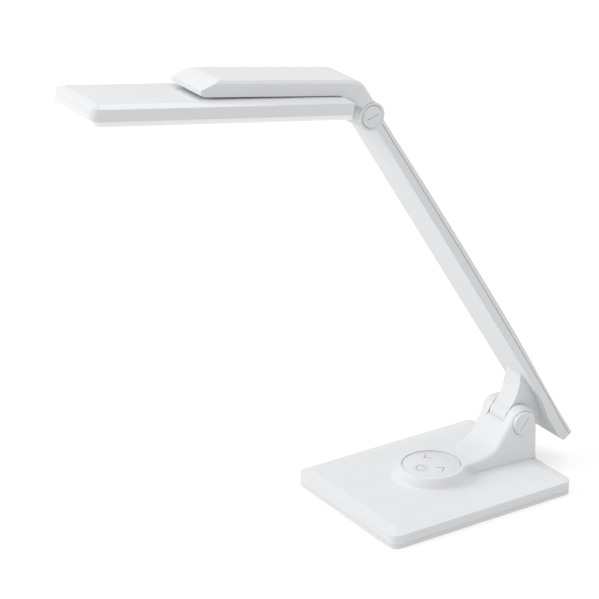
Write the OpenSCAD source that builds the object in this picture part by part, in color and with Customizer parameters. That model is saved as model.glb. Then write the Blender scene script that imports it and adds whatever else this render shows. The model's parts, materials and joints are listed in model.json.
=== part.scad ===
// Folding desk lamp: weighted base with a touch pod and hinge tower, one flat
// arm, an elbow bracket and a slim light panel that swivels under the bracket.
// Millimetres. Origin on the table at the centre of the base, +Y to the tower.

/* [Show] */
// Sub-part to draw

/* [Base] */
// Base width, side to side
base_w = 140; // [110:1:200]
// Base length, front to back
base_l = 180; // [150:1:240]
// Height of the base's upright side above the table
base_side = 11.8; // [9:0.1:18]
// Bevel round the top, measured inwards
base_bev_in = 9.3; // [4:0.1:15]
// Rise of that bevel
base_bev_up = 1.9; // [0.8:0.1:4]
// Radius of the base's upright corners
base_corner = 7; // [3:0.5:9]
// Height of the joint between tray and cover
base_split = 3.7; // [3.2:0.1:6]
// Wall of the cover
base_wall = 2.2; // [1.6:0.1:3]
// How far the rubber pad lifts the tray off the table
pad_lift = 0.6; // [0.3:0.1:1.5]
// Thickness of the ballast plate
ballast_t = 5; // [3:0.5:6]

/* [Touch pod] */
// Radius of the pod
pod_r = 28.8; // [24:0.1:36]
// Height of the pod's rim above the table
pod_top = 23.9; // [20:0.1:30]
// Distance of the pod's centre in front of the origin
pod_ahead = 3.4; // [0:0.1:20]
// Radius of the touch disc
disc_r = 25.2; // [18:0.1:30]
// How far the disc lies below the rim
disc_drop = 0.5; // [0:0.1:1.5]
// Bevel of the pod's rim
pod_bev = 1.4; // [0.5:0.1:3]
// Radius of the flare where the pod meets the base
flare_r = 34; // [30:0.5:40]
// Height of that flare
flare_h = 1.5; // [0.5:0.1:3]

/* [Hinge tower] */
// Distance of the lower hinge in from the base's back edge
hinge_in = 14.5; // [14.5:0.5:30]
// Height of the lower hinge
hinge_z = 48.3; // [42:0.1:60]
// Radius of the tower's ears
ear_r = 14.1; // [13:0.1:16]
// Width across the ears
ear_w = 41.6; // [36:0.2:50]
// Width of the slot between the ears
slot_w = 21.8; // [18:0.2:26]
// Slope of the ramp's straight part, degrees
ramp_deg = 55; // [45:1:65]
// Radius of the ramp's long curve
ramp_r1 = 70; // [50:1:90]
// Radius of the ramp's tight curve
ramp_r2 = 45; // [30:1:60]
// Width of the tower's foot at the front
foot_front = 32.6; // [26:0.2:40]
// Width of the tower's foot at the back
foot_back = 44.4; // [42:0.2:52]

/* [Arm] */
// Lean of the arm at rest, degrees from upright
lean = 32.2; // [10:0.1:50]
// Distance between the two hinges along the arm
arm_len = 337.5; // [250:0.5:420]
// Width of the arm
arm_w = 41.6; // [36:0.2:50]
// Distance from the lower hinge to the arm's front face
arm_off = 24.8; // [22:0.1:32]
// Depth of the front shell at mid length
shell_deep = 6.9; // [5:0.1:9]
// Thickness of the arm at mid length
arm_thick = 11.2; // [9:0.1:15]
// Length of the arm below the lower hinge
tail_len = 47; // [30:0.5:47.5]
// Wall of the arm's shells
arm_wall = 2; // [1.5:0.1:3]
// Distance of the upper hinge behind the arm's front face
up_off = 2.2; // [0:0.1:6]
// Radius of the upper fork
fork_r = 11.3; // [10:0.1:14]
// Width of the slot in the upper fork
fork_slot = 26.6; // [20:0.2:30]

/* [Bracket] */
// Tilt of the light panel at rest, degrees
head_deg = 9.58; // [0:0.1:30]
// Reach of the bracket's crest ahead of the upper hinge
crest_front = 141.2; // [110:0.5:170]
// Reach of the bracket's nose
nose_front = 157.2; // [125:0.5:190]
// Height of the crest above the hinge at its front
crest_z = 30.5; // [27:0.1:36]
// Width of the flat crest
crest_w = 37.6; // [30:0.2:41]
// Thickness of the bracket's cover
cover_t = 2.4; // [1.8:0.1:3.5]
// Outer radius of the elbow
elbow_r = 18; // [12:0.5:22]

/* [Light panel] */
// Width of the panel
panel_w = 61.2; // [50:0.2:90]
// Length of the panel
panel_l = 225.3; // [180:0.5:300]
// Gap between the upper hinge and the panel's back end
panel_back = 25; // [24.5:0.1:40]
// Height of the panel's top face above the hinge
panel_top = 16.6; // [14:0.1:16.8]
// Bevel round the panel's top, measured inwards
panel_bev_in = 5.9; // [3:0.1:10]
// Rise of that bevel
panel_bev_up = 2.6; // [1:0.1:4]
// Height of the panel's upright side
panel_side = 9; // [6:0.1:12]
// Height of the light rim below the side
rim_h = 3.8; // [2:0.1:5]
// Inset of the light rim
rim_in = 2.2; // [1:0.1:4]
// Corner radius of the panel
panel_corner = 5; // [3:0.5:8]
// Distance of the swivel ahead of the upper hinge
swivel_d = 132.5; // [100:0.5:145]

/* [Hinge parts] */
// Radius of the hinge bolts
bolt_r = 3; // [2.5:0.1:4]
// Running clearance round the hinge bolts
run = 0.05; // [0.02:0.01:0.1]
// Radius of the lower caps
cap_lo_r = 11; // [9:0.1:12.5]
// Radius of the upper caps
cap_up_r = 9.2; // [7.5:0.1:10.3]
// How far the caps stand out
cap_out = 1.8; // [0.5:0.1:3]
// Thickness of the friction washers
washer_t = 0.6; // [0.4:0.05:1]
// Side gap between a moving washer and its ear
side_gap = 0.05; // [0.02:0.01:0.2]

/* [Hidden] */
$fn = 96;
eps = 0.02;
big = 400;
base_top = base_side + base_bev_up;
hinge_y = base_l / 2 - hinge_in;
base_z0 = pad_lift;
low = [hinge_y, hinge_z];
tower_back = hinge_y + ear_r;
up_y = arm_off + up_off;
tilt = head_deg;
crest_fall = 0.0137;
knuckle_r = 11.3;
slot_r = knuckle_r + 0.6;
neck_deg = 90 - lean - tilt;
fall_k = [cos(neck_deg), -sin(neck_deg)];
bevel_steps = 2;
cap_seat = 1.4;
lo_bear = 15.4;
up_bear = 16.2;
hole_depth = 11;
tower_sx = [13.2, 15.6];
tower_sy = [hinge_y - 28, hinge_y + 1.5];
ramp_in = hinge_y - 45.5;
inlet_x = 28 - base_w / 2;
inlet_z = 7.4;
up_r = 11.1;
up_lug_w = fork_slot - 2 * (washer_t + 2 * side_gap);
lug_w = slot_w - 2 * (washer_t + 2 * side_gap);
spin_r = 5;
br_screws = [[-14, -112], [14, -112], [-14, -50], [14, -50]];
arm_boss_r = 2.9;
boss_x = arm_w / 2 - arm_wall - arm_boss_r + 0.4;
cover_at = [for (z = [-38, 60, 200, 300], m = [-1, 1]) [m * boss_x, z]];

// ---- helpers -------------------------------------------------------------

function unit(v) = v / norm(v);
function half_angle(p, a, b) = acos(unit(a - p) * unit(b - p)) / 2;
function tan_pt(p, a, b, r) = p + unit(a - p) * (r / tan(half_angle(p, a, b)));
function arc_mid(p, a, b, r) = p + unit(unit(a - p) + unit(b - p)) * (r / sin(half_angle(p, a, b)));

// The sliver between a corner p (neighbours a and b) and a round of radius r
module corner(p, a, b, r) {
    c = arc_mid(p, a, b, r);
    difference() {
        polygon([tan_pt(p, a, b, r), p + unit(p - c) * 0.4, tan_pt(p, b, a, r), c]);
        translate(c) circle(r);
    }
}

// A side view (Y across, Z up) drawn through a width w along X
module side(w) rotate([90, 0, 90]) linear_extrude(w, center = true) children();

// The same between two X positions
module side_from(x0, x1) translate([x0, 0, 0]) rotate([90, 0, 90]) linear_extrude(x1 - x0) children();

// Both hands of a side view between two distances from the middle
module sides(x0, x1) for (m = [0, 1]) mirror([m, 0, 0]) side_from(x0, x1) children();

// A round bar along X
module xbar(x0, x1, r) translate([x0, 0, 0]) rotate([0, 90, 0]) cylinder(x1 - x0, r, r);

module rrect(w, l, r) {
    square([w - 2 * r, l], center = true);
    square([w, l - 2 * r], center = true);
    for (x = [-1, 1], y = [-1, 1]) translate([x * (w / 2 - r), y * (l / 2 - r)]) circle(r);
}

module slab(w, l, r, z0, z1) translate([0, 0, z0]) linear_extrude(z1 - z0) rrect(w, l, r);

// A block with upright sides to z1, then a bevel that follows its rounded corners to z2
module bevel_block(w, l, r, z0, z1, z2, bin) {
    rise = z2 - z1;
    tip = r * rise / bin;
    difference() {
        intersection() {
            side(w) polygon([[-l/2, z0], [l/2, z0], [l/2, z1], [l/2 - bin, z2], [bin - l/2, z2], [-l/2, z1]]);
            rotate([0, 0, 90])
                side(l) polygon([[-w/2, z0], [w/2, z0], [w/2, z1], [w/2 - bin, z2], [bin - w/2, z2], [-w/2, z1]]);
        }
        for (x = [0, 1], y = [0, 1]) mirror([x, 0, 0]) mirror([0, y, 0]) translate([w/2 - r, l/2 - r, 0])
            difference() {
                translate([0, 0, z0 - 1]) cube([r + 1, r + 1, z2 - z0 + 2]);
                translate([0, 0, z0 - 2]) cylinder(z1 - z0 + 2, r, r);
                translate([0, 0, z1]) cylinder(tip, r, 0);
            }
    }
}

module at_low() translate([0, hinge_y, hinge_z]) children();
module in_arm() at_low() rotate([lean, 0, 0]) children();
module at_up() in_arm() translate([0, up_y, arm_len]) children();
module in_head() at_up() rotate([-lean - tilt, 0, 0]) children();

// ---- base ----------------------------------------------------------------

pad_w = base_w - 14;
pad_l = base_l - 14;
screw_x = base_w / 2 - 13;
screw_y = base_l / 2 - 13;
notch_r = 8;
boss_r = 3.6;
screw_r = 1.5;
head_r = 3;
tray_floor = 2;

module at_corners(x, y) for (i = [-1, 1], j = [-1, 1]) translate([i * x, j * y, 0]) children();

module pad_shape(play) difference() {
    rrect(pad_w + 2 * play, pad_l + 2 * play, 4);
    for (i = [-1, 1], j = [-1, 1]) translate([i * screw_x, j * screw_y]) circle(notch_r - play);
}

module rubber_pad() color([0.12, 0.12, 0.12]) linear_extrude(pad_lift + 0.6) pad_shape(0);

module base_tray() color([0.86, 0.87, 0.87]) difference() {
    union() {
        slab(base_w, base_l, base_corner, base_z0, base_split - 0.3);
        slab(base_w - 0.8, base_l - 0.8, base_corner - 0.4, base_z0, base_split);
        slab(base_w - 2 * base_wall - 0.2, base_l - 2 * base_wall - 0.2, base_corner - base_wall, base_z0, base_split + 1.6);
    }
    slab(base_w - 2 * base_wall - 3.4, base_l - 2 * base_wall - 3.4, base_corner - base_wall - 1.6,
        base_z0 + tray_floor, base_split + 3);
    translate([0, 0, base_z0 - 1]) linear_extrude(1.6) pad_shape(0.1);
    translate([inlet_x - 5.3, base_l/2 - base_wall - 14, base_z0 + tray_floor]) cube([10.6, 13.9, 8]);
    at_corners(screw_x, screw_y) {
        translate([0, 0, -1]) cylinder(base_z0 + 2, head_r + 0.3, head_r + 0.3);
        translate([0, 0, -1]) cylinder(8, screw_r + 0.2, screw_r + 0.2);
    }
}

module base_screws() color([0.6, 0.6, 0.62]) at_corners(screw_x, screw_y) difference() {
    union() {
        translate([0, 0, base_z0 + 0.2]) cylinder(0.8, head_r, head_r);
        translate([0, 0, base_z0 + 0.5]) cylinder(8.5, screw_r, screw_r);
    }
    translate([0, 0, base_z0]) cylinder(0.7, 1.2, 1.2, $fn = 6);
}

module base_outer() bevel_block(base_w, base_l, base_corner, base_split, base_side, base_top, base_bev_in);

module base_cover() color([0.88, 0.89, 0.89]) difference() {
    union() {
        difference() {
            base_outer();
            bevel_block(base_w - 2 * base_wall, base_l - 2 * base_wall, base_corner - base_wall,
                base_split - 1, base_side - base_wall, base_top - base_wall, base_bev_in - base_wall);
        }
        at_corners(screw_x, screw_y) translate([0, 0, base_z0 + tray_floor + 0.05])
            cylinder(base_top - base_z0 - tray_floor - 1, boss_r, boss_r);
    }
    at_corners(screw_x, screw_y) translate([0, 0, 0]) cylinder(base_z0 + 9.2, screw_r, screw_r);
    translate([0, -pod_ahead, 0]) cylinder(base_top + 1, 12, 12);
    translate([0, 0, base_top - 4]) tower_holes(8);
    translate([inlet_x, base_l/2, inlet_z]) rotate([90, 0, 0]) cylinder(8, 3.4, 3.4, center = true);
}

module ballast_plate() color([0.5, 0.5, 0.52]) difference() {
    slab(base_w - 18, base_l - 18, 3, base_z0 + tray_floor, base_z0 + tray_floor + ballast_t);
    at_corners(screw_x, screw_y) translate([0, 0, -1]) cylinder(20, 5, 5);
    for (x = [-1, 1]) translate([x * screw_x, screw_y + 5, 5]) cube([12, 12, 20], center = true);
    for (x = [-1, 1]) translate([x * screw_x, -screw_y - 5, 5]) cube([12, 12, 20], center = true);
    translate([inlet_x - 8, base_l/2 - 22, 0]) cube([16, 22, 20]);
    translate([0, -pod_ahead, -1]) cylinder(20, 9, 9);
}

module dc_inlet() color([0.1, 0.1, 0.1]) translate([inlet_x, base_l/2, inlet_z]) rotate([90, 0, 0]) {
    difference() {
        union() {
            translate([0, 0, 0.3]) cylinder(3, 3.3, 3.3);
            translate([-5, -4.3, base_wall + 0.1]) cube([10, 6.3, 11]);
        }
        translate([0, 0, -1]) cylinder(10, 2.7, 2.7);
    }
    translate([0, 0, 1.4]) cylinder(9, 0.9, 0.9);
}

// ---- pod and hinge tower -------------------------------------------------

ramp_k = [cos(ramp_deg), sin(ramp_deg)];
ear_tan = low + ear_r * [-sin(ramp_deg), cos(ramp_deg)];
ramp_a1 = 20;
face_z = pod_top + ramp_r1 * (1 - cos(ramp_a1)) + ramp_r2 * (cos(ramp_a1) - cos(ramp_deg));
face_end = ear_tan - ramp_k * ((ear_tan[1] - face_z) / ramp_k[1]);
mid_pt = face_end - ramp_r2 * [sin(ramp_deg) - sin(ramp_a1), cos(ramp_a1) - cos(ramp_deg)];
flat_end = mid_pt - ramp_r1 * [sin(ramp_a1), 1 - cos(ramp_a1)];
knee1 = flat_end + [ramp_r1 * tan(ramp_a1 / 2), 0];
knee2 = face_end - ramp_k * (ramp_r2 * tan((ramp_deg - ramp_a1) / 2));
foot_z = base_side - 1;

module ramp_profile() {
    polygon([[-pod_ahead, foot_z], [-pod_ahead, pod_top], knee1, knee2, ear_tan, low, [tower_back, hinge_z],
        [tower_back, foot_z]]);
    corner(knee1, flat_end, knee2, ramp_r1);
    corner(knee2, knee1, face_end, ramp_r2);
    translate(low) circle(ear_r);
}

module slot_profile() {
    translate(low) circle(slot_r);
    polygon([[hinge_y, hinge_z - slot_r], [tower_back + 2, hinge_z - slot_r - 6.6], [tower_back + 2, big],
        [20, big], [20, hinge_z - 1.5], [hinge_y, hinge_z - 1.5]]);
}

module tower_holes(h) for (i = [0, 1], m = [-1, 1]) translate([m * tower_sx[i], tower_sy[i], 0]) cylinder(h, screw_r, screw_r);

module tower_plan() intersection() {
    polygon([[-foot_front/2, -pod_ahead], [foot_front/2, -pod_ahead], [foot_front/2, ramp_in], [foot_back/2, hinge_y + 3],
        [foot_back/2, tower_back + 1], [-foot_back/2, tower_back + 1], [-foot_back/2, hinge_y + 3], [-foot_front/2, ramp_in]]);
    translate([0, tower_back/2 - 20]) rrect(foot_back, tower_back + 40, 3.5);
}

// Front view: slightly drawn in towards the top, with the ears' tops rounded
module tower_front() {
    z1 = hinge_z + ear_r;
    r = 4;
    difference() {
        polygon([[-foot_back/2, foot_z], [foot_back/2, foot_z], [ear_w/2, hinge_z], [ear_w/2, z1], [-ear_w/2, z1],
            [-ear_w/2, hinge_z]]);
        for (m = [0, 1]) mirror([m, 0])
            corner([ear_w/2, z1], [0, z1], [ear_w/2, hinge_z], r);
    }
}

module tower_housing() color([0.9, 0.91, 0.91]) difference() {
    union() {
        intersection() {
            side(foot_back + 2) ramp_profile();
            linear_extrude(big) tower_plan();
            rotate([0, 0, 90]) rotate([90, 0, 90]) linear_extrude(big, center = true) tower_front();
        }
        translate([0, -pod_ahead, base_top]) {
            cylinder(flare_h, flare_r, pod_r);
            cylinder(pod_top - base_top - pod_bev, pod_r, pod_r);
            translate([0, 0, pod_top - base_top - pod_bev]) cylinder(pod_bev, pod_r, pod_r - pod_bev);
        }
    }
    base_outer();
    side(slot_w) slot_profile();
    translate([0, -pod_ahead, pod_top - 2.6]) cylinder(4, disc_r + 0.5, disc_r + 0.5);
    translate([0, -pod_ahead, base_top - 1]) cylinder(pod_top - base_top - 3.4, pod_r - 3, pod_r - 3);
    side(17) polygon([[ramp_in, foot_z - 2], [ramp_in, pod_top - 1.5], [ramp_in + 17, pod_top + 4.5],
        [hinge_y - 16, hinge_z - 19], [tower_back - 3, hinge_z - 23], [tower_back - 3, foot_z - 2]]);
    translate([0, 0, base_top - 3]) tower_holes(hole_depth + 3);
    at_low() {
        xbar(-big, big, bolt_r + run);
        for (m = [0, 1]) mirror([m, 0, 0]) {
            xbar(ear_w/2 - cap_seat, ear_w/2 + 4, cap_lo_r + 0.03);
            xbar(lo_bear, ear_w/2, 6.6);
        }
    }
}

module tower_screws() color([0.6, 0.6, 0.62]) for (i = [0, 1], m = [-1, 1]) translate([m * tower_sx[i], tower_sy[i], 0]) {
    translate([0, 0, base_top - base_wall - 2]) cylinder(2, 2.7, 2.7);
    translate([0, 0, base_top - base_wall - 1]) cylinder(hole_depth, screw_r, screw_r);
}

module touch_gasket() color([0.1, 0.1, 0.1]) translate([0, -pod_ahead, pod_top - 2.6]) difference() {
    cylinder(1.7, disc_r + 0.5, disc_r + 0.5);
    translate([0, 0, 0.6]) cylinder(2, disc_r, disc_r);
    translate([0, 0, -1]) cylinder(3, disc_r - 2, disc_r - 2);
}

module touch_disc() color([0.93, 0.93, 0.93]) translate([0, -pod_ahead, pod_top - 2]) {
    cylinder(2 - disc_drop - 0.3, disc_r, disc_r);
    translate([0, 0, 2 - disc_drop - 0.3]) cylinder(0.3, disc_r, disc_r - 0.3);
}

module control_board() color([0.1, 0.35, 0.15]) translate([0, -pod_ahead, base_top + 1.2]) difference() {
    union() {
        cylinder(1.6, 22, 22);
        translate([-6, -8, 0]) cube([12, 14, 3.4]);
        translate([9, -3, 0]) cylinder(4, 3, 3);
    }
    for (a = [0:120:240]) rotate([0, 0, a + 90]) translate([18, 0, -1]) cylinder(4, 1.6, 1.6);
}

// ---- hinge hardware ------------------------------------------------------

// Coin-slotted cap on the +X side, its plug at x0 and its face at x1
module cap(x0, x1, r) difference() {
    union() {
        xbar(x0, x1 - 0.6, r);
        translate([x1 - 0.6, 0, 0]) rotate([0, 90, 0]) cylinder(0.6, r, r - 0.6);
    }
    translate([x1 - 0.4, 0, 0]) rotate([0, 90, 0]) difference() {
        cylinder(1, r - 1.2, r - 1.2);
        translate([0, 0, -1]) cylinder(3, r - 1.8, r - 1.8);
    }
    translate([x1, 0, 0]) rotate([-lean, 0, 0]) cube([2, 1.7, 1.36 * r], center = true);
}

module bolt(b) {
    xbar(-b - 3.1, b + 0.01, bolt_r);
    difference() {
        xbar(b, b + 3, 5.5);
        xbar(b + 1.2, b + 4, 2.4, $fn = 6);
    }
}

module nut(b) difference() {
    translate([-b - 3, 0, 0]) rotate([0, 90, 0]) cylinder(3, 5.6, 5.6, $fn = 6);
    xbar(-b - 4, -b + 1, bolt_r);
}

module washers(x1, r) for (m = [0, 1]) mirror([m, 0, 0]) difference() {
    xbar(x1 - washer_t, x1, r);
    xbar(x1 - 2, x1 + 2, bolt_r + run);
}

module lower_bolt() color([0.7, 0.7, 0.72]) at_low() bolt(lo_bear);
module lower_nut() color([0.7, 0.7, 0.72]) at_low() nut(lo_bear);
module lower_caps() color([0.9, 0.9, 0.9]) at_low() for (m = [0, 1]) mirror([m, 0, 0])
    cap(ear_w/2 - cap_seat, ear_w/2 + cap_out, cap_lo_r);
module lower_washers() color([0.2, 0.2, 0.2]) at_low() washers(slot_w/2 - side_gap, 10.4);

// ---- arm -----------------------------------------------------------------
// Side views are drawn as [distance behind the hinge line, distance up the arm]

front_y = arm_off;
rear_y = arm_off + arm_thick;
seam_y = arm_off + shell_deep;
heel = 4.2;
arm_end = arm_len - fork_r + 1;

function seam_line() = [[seam_y - 2.4, -tail_len], [seam_y - 2.3, -30], [seam_y - 1, -3], [seam_y - 0.4, 48],
    [seam_y, 110], [seam_y, 183], [seam_y - 0.6, 253], [seam_y - 1.1, arm_end]];
function rear_line() = [[rear_y - 1.9, arm_end], [rear_y - 1.4, 294], [rear_y - 0.6, 248], [rear_y - 0.1, 178],
    [rear_y, 118], [rear_y - 0.4, 75], [rear_y - 1.3, 44], [rear_y - 2.2, 20], [rear_y - 2.9, -6],
    [rear_y - 3.2, -19], [rear_y - 3.2, -tail_len]];
function back(list) = [for (i = [len(list) - 1:-1:0]) list[i]];

module shell_profile() polygon(concat(
    [[front_y, arm_end], [front_y, 4], [front_y - heel, -18], [front_y - heel, 4.5 - tail_len],
        [front_y - heel + 1.8, -tail_len]], seam_line()));

module cover_profile() polygon(concat(seam_line(), rear_line()));

module lug_profile() {
    circle(knuckle_r);
    difference() {
        union() {
            polygon([[0, -knuckle_r], [13.6, -17.4], [20, -17.4], [front_y + arm_wall, -12], [front_y + arm_wall, 31], [front_y - 1.8, 31],
                [16.2, 19.9], [4, 10.6], [0, 0]]);
        }
        corner([20, -17.4], [13.6, -17.4], [front_y + arm_wall, -12], 3);
    }
}

module arm_knuckle() color([0.88, 0.89, 0.89]) in_arm() difference() {
    union() {
        side(lug_w) lug_profile();
        side(32) polygon([[front_y + arm_wall, -22], [front_y + arm_wall + 2, -22], [front_y + arm_wall + 2, 40], [front_y + arm_wall, 40]]);
    }
    xbar(-big, big, bolt_r + run);
    for (z = [-18, 35], x = [-11, 11]) translate([x, 0, z]) rotate([-90, 0, 0]) cylinder(60, 1.25, 1.25);
}

module arm_front_shell() color([0.9, 0.91, 0.91]) in_arm() difference() {
    union() {
        difference() {
            side(arm_w) shell_profile();
            side(arm_w - 2 * arm_wall) polygon(concat(
                [[front_y + arm_wall, arm_end - 12], [front_y + arm_wall, 4 - arm_wall], [front_y - heel + arm_wall, -20], [front_y - heel + arm_wall, 6.5 - tail_len],
                    [front_y + 0.3, arm_wall - tail_len], [seam_y + 3, arm_wall - tail_len], [seam_y + 3, arm_end - 12]]));
            side(lug_w + 0.1) polygon([[front_y - 6, -17.5], [front_y + 6, -12.1], [front_y + 6, 31.1], [front_y - 6, 31.1]]);
        }
        difference() {
            side(arm_w) {
                translate([up_y, arm_len]) circle(fork_r);
                polygon([[front_y, arm_end - 10], [front_y, arm_len], [seam_y - 1.1, arm_len], [seam_y - 1.1, arm_end - 10]]);
            }
        }
        for (p = cover_at) translate([p[0], front_y + (p[1] < 0 ? arm_wall - heel : arm_wall) - eps, p[1]])
            rotate([-90, 0, 0]) cylinder(shell_deep - arm_wall - 1.2, arm_boss_r, arm_boss_r);
    }
    side(fork_slot) translate([up_y, arm_len]) circle(fork_r + 0.6);
    side(fork_slot) polygon([[-20, arm_len + 4], [90, arm_len + 4], [90, arm_len + 60], [-20, arm_len + 60]]);
    translate([0, up_y, arm_len]) {
        xbar(-big, big, bolt_r + run);
        for (m = [0, 1]) mirror([m, 0, 0]) {
            xbar(arm_w/2 - cap_seat, arm_w/2 + 4, cap_up_r + 0.03);
            xbar(up_bear, arm_w/2, 6);
        }
    }
    for (p = cover_at) translate([p[0], front_y + 0.8, p[1]]) rotate([-90, 0, 0]) cylinder(20, 1.2, 1.2);
}

module arm_rear_cover() color([0.88, 0.89, 0.89]) in_arm() difference() {
    union() {
        difference() {
            side(arm_w) cover_profile();
            side(arm_w - 2 * arm_wall) polygon([[seam_y - 4, arm_wall - tail_len], [rear_y - 5, arm_wall - tail_len], [rear_y - 5, -6],
                [rear_y - arm_wall - 0.4, 75], [rear_y - arm_wall - 0.2, 178], [rear_y - arm_wall - 1.8, 294], [rear_y - arm_wall - 1.8, arm_end - 13],
                [seam_y - 4, arm_end - 13]]);
        }
        for (p = cover_at) translate([p[0], seam_y - 1.2, p[1]]) rotate([-90, 0, 0]) cylinder(3, arm_boss_r, arm_boss_r);
    }
    for (m = [0, 1]) mirror([m, 0, 0]) translate([arm_w/2, rear_y, 0]) rotate([0, 0, 45]) cube([2.6, 2.6, 1000], center = true);
    translate([0, up_y, arm_len]) xbar(-big, big, fork_r + 0.15);
    for (p = cover_at) translate([p[0], 0, p[1]]) rotate([-90, 0, 0]) {
        cylinder(60, 1.4, 1.4);
        translate([0, 0, seam_y + 2]) cylinder(20, 2.5, 2.5);
    }
}

module arm_screws() color([0.6, 0.6, 0.62]) in_arm() for (p = cover_at) translate([p[0], front_y + 1, p[1]]) rotate([-90, 0, 0]) {
    cylinder(shell_deep + 1.2, 1.2, 1.2);
    translate([0, 0, shell_deep + 1]) cylinder(0.9, 2.3, 2.3);
}

stiff_y = front_y + arm_wall + 2;
lead_z = 20;

module arm_stiffener() color([0.55, 0.56, 0.58]) in_arm() difference() {
    translate([-11.5, stiff_y, -22]) cube([23, 1.5, arm_end - 14 + 22]);
    for (z = [70:50:270]) translate([0, 0, z]) rotate([-90, 0, 0]) cylinder(60, 6, 6);
}

module arm_lead() color([0.1, 0.1, 0.1]) in_arm() translate([-2.4, stiff_y + 1.6, lead_z]) cube([4.8, 0.9, arm_end - 14 - lead_z]);

// ---- bracket and its knuckle ---------------------------------------------
// Drawn in the head's own frame: upper hinge at the origin, panel level, front at -Y

function crest_at(y) = crest_z - crest_fall * (y + crest_front);
neck_end = [0.83, 11.9];
neck_len = (crest_at(neck_end[0]) - neck_end[1]) / (sin(neck_deg) - crest_fall * cos(neck_deg));
elbow_p = neck_end - fall_k * neck_len;
crest_tip = [-crest_front, crest_z];
under_front = [4.2 - nose_front, 18.5];
under_back = [-29.3, 17.2];
under_p = [-21.95, 17.1];
under_r = 28;
under_end = [-9.8, 6.46];
grip_r = fork_r + 0.5;

module bracket_outline() {
    difference() {
        polygon([crest_tip, elbow_p, neck_end + fall_k * 3, [0, 0], under_end + [0.7547, -0.656] * 3, under_p, under_front,
            [0.6 - nose_front, 19.6], [-nose_front, nose_tip]]);
        corner(elbow_p, crest_tip, neck_end, elbow_r);
    }
    corner(under_p, under_back - [40, -0.3], under_end, under_r);
}

// All of the side view that lies deep or more under the crest, elbow and neck
function lowered(deep) = elbow_p - deep * [tan(neck_deg / 2), 1];
function neck_low(deep) = neck_end - deep * [sin(neck_deg), cos(neck_deg)];

module below_crest(deep) difference() {
    polygon([crest_tip - [60, deep - 0.82], lowered(deep), neck_low(deep) + fall_k * 30, [-60, -60], [-220, -20]]);
    corner(lowered(deep), crest_tip - [0, deep], neck_low(deep) + fall_k * 3, elbow_r - deep);
}

// The cover stops short of the fork, where the body comes up to the outside
module neck_block() translate([-1, -50]) square([60, 62.5]);

module bracket_body_profile() intersection() {
    bracket_outline();
    union() {
        below_crest(cover_t);
        neck_block();
    }
}

module bracket_body() color([0.9, 0.91, 0.91]) in_head() difference() {
    union() {
        difference() {
            side(arm_w) bracket_body_profile();
            xbar(-big, big, grip_r);
            side(arm_w - 2 * arm_wall) polygon([[2 - nose_front + 1.6, 22.2], [-146, 27], [-146, 60], [-30, 60], [-22, 20],
                [-36, 19.4], [-150, 20.6]]);
        }
        side(up_lug_w) {
            circle(up_r);
            intersection() {
                bracket_body_profile();
                circle(26);
            }
        }
        translate([0, -swivel_d, 16.95]) cylinder(2.4, 13, 13);
        translate([0, -swivel_d, 19]) cylinder(2.4, 9, 9);
    }
    xbar(-big, big, bolt_r + run);
    translate([0, -swivel_d, 0]) cylinder(40, spin_r + run, spin_r + run);
    for (p = br_screws) translate([p[0], p[1], 18]) cylinder(20, 1.2, 1.2);
}

// The skin from a depth under the crest line down to the body
nose_tip = 23.4;
nose_run = nose_front - crest_front;
nose_fall = crest_z - nose_tip;
function nose_at(deep) = crest_tip - [nose_run, nose_fall] * (deep / (nose_fall + crest_fall * nose_run));

module crest_block(deep) difference() {
    polygon([[-nose_front, nose_tip], nose_at(deep), lowered(deep), neck_low(deep) + fall_k * 3, [0, 0], [-150, 20]]);
    corner(lowered(deep), nose_at(deep), neck_low(deep) + fall_k * 3, elbow_r - deep);
}

// Its side bevel is cut in steps, so that it follows the elbow's arc
module bracket_cover() color([0.92, 0.93, 0.93]) in_head() difference() {
    for (i = [0:bevel_steps]) side(crest_w + (arm_w - crest_w) * i / bevel_steps)
        crest_block(cover_t * i / (bevel_steps + 1));
    side(arm_w + 2) union() {
        below_crest(cover_t);
        neck_block();
    }
    xbar(-big, big, grip_r);
}

module bracket_screws() color([0.6, 0.6, 0.62]) in_head() for (p = br_screws) translate([p[0], p[1], 19]) {
    cylinder(7, 1.2, 1.2);
    translate([0, 0, 6]) cylinder(1, 2.2, 2.2);
}

module upper_washers() color([0.2, 0.2, 0.2]) at_up() washers(fork_slot/2 - side_gap, 9.6);
module upper_bolt() color([0.7, 0.7, 0.72]) at_up() bolt(up_bear);
module upper_nut() color([0.7, 0.7, 0.72]) at_up() nut(up_bear);
module upper_caps() color([0.9, 0.9, 0.9]) at_up() for (m = [0, 1]) mirror([m, 0, 0])
    cap(arm_w/2 - cap_seat, arm_w/2 + cap_out - 0.6, cap_up_r);

module swivel_bush() color([0.85, 0.85, 0.8]) in_head() translate([0, -swivel_d, 21.4]) difference() {
    cylinder(0.8, 9, 9);
    translate([0, 0, -1]) cylinder(3, spin_r + run, spin_r + run);
}

// ---- light panel ---------------------------------------------------------

panel_mid = -panel_back - panel_l / 2;
side_z1 = panel_top - panel_bev_up;
side_z0 = side_z1 - panel_side;
rim_z0 = side_z0 - rim_h;
wall = 2;
board_y = panel_l / 2 - 14.6;
chip_x = panel_w / 2 - 18.6;
chip_step = 18;
chip_rows = floor((panel_l / 2 - 20) / chip_step);

module in_panel() in_head() translate([0, panel_mid, 0]) children();
module at_chips() for (x = [-1, 1], i = [-chip_rows:chip_rows]) translate([x * chip_x, i * chip_step, 0]) children();

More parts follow.
